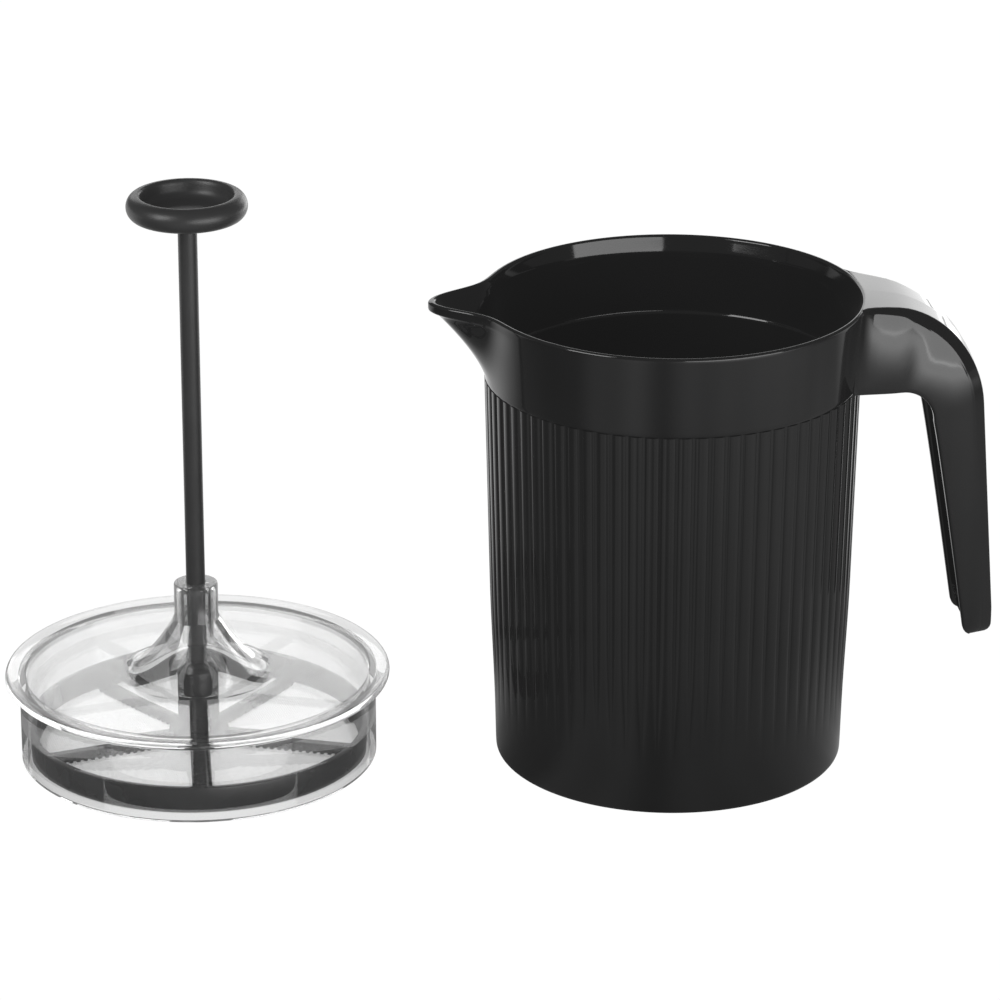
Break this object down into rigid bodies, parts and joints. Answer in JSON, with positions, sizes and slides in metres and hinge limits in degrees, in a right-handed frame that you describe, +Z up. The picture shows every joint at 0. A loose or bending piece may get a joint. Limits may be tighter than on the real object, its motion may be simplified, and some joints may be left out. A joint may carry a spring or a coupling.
{
  "type": "french press",
  "caption": "Hand-pump milk frother: ribbed jug with beak and channel handle, and a clear lid that slides on a knob-and-filter plunger.",
  "frame": {"origin": "centre of the jug's flat underside, on the table", "axes": "+Z up along the jug's axis, +X towards the handle, beak towards -X; the lid and plunger stand beside the jug on the beak's side"},
  "size_m": [0.2816, 0.1154, 0.1673],
  "materials": {
    "jug_plastic": "glossy black moulded plastic",
    "plunger_plastic": "satin dark grey moulded plastic",
    "clear_plastic": "clear polished moulded polystyrene",
    "nylon_mesh": "fine woven nylon mesh"
  },
  "bodies": {
    "jug": {"beaker": "jug_plastic", "collar": "jug_plastic", "handle": "jug_plastic"},
    "plunger": {"rod": "plunger_plastic", "knob": "plunger_plastic", "knob_cap": "plunger_plastic"},
    "filter": {"filter_hub": "plunger_plastic", "filter_frame": "plunger_plastic", "filter_mesh": "nylon_mesh", "mesh_clamp": "plunger_plastic", "retaining_nut": "plunger_plastic"},
    "lid": {"lid": "clear_plastic"}
  },
  "joints": [
    {"name": "assembly_lift", "type": "slide", "parent": "jug", "child": "plunger", "axis": [0, 0, 1], "range_m": [0, 0.12]},
    {"name": "filter_turn", "type": "hinge", "parent": "plunger", "child": "filter", "pos_m": [-0.1346, 0.0066, 0.01], "axis": [0, 0, 1], "continuous": true},
    {"name": "lid_slide", "type": "slide", "parent": "plunger", "child": "lid", "axis": [0, 0, 1], "range_m": [0, 0.104]}
  ]
}
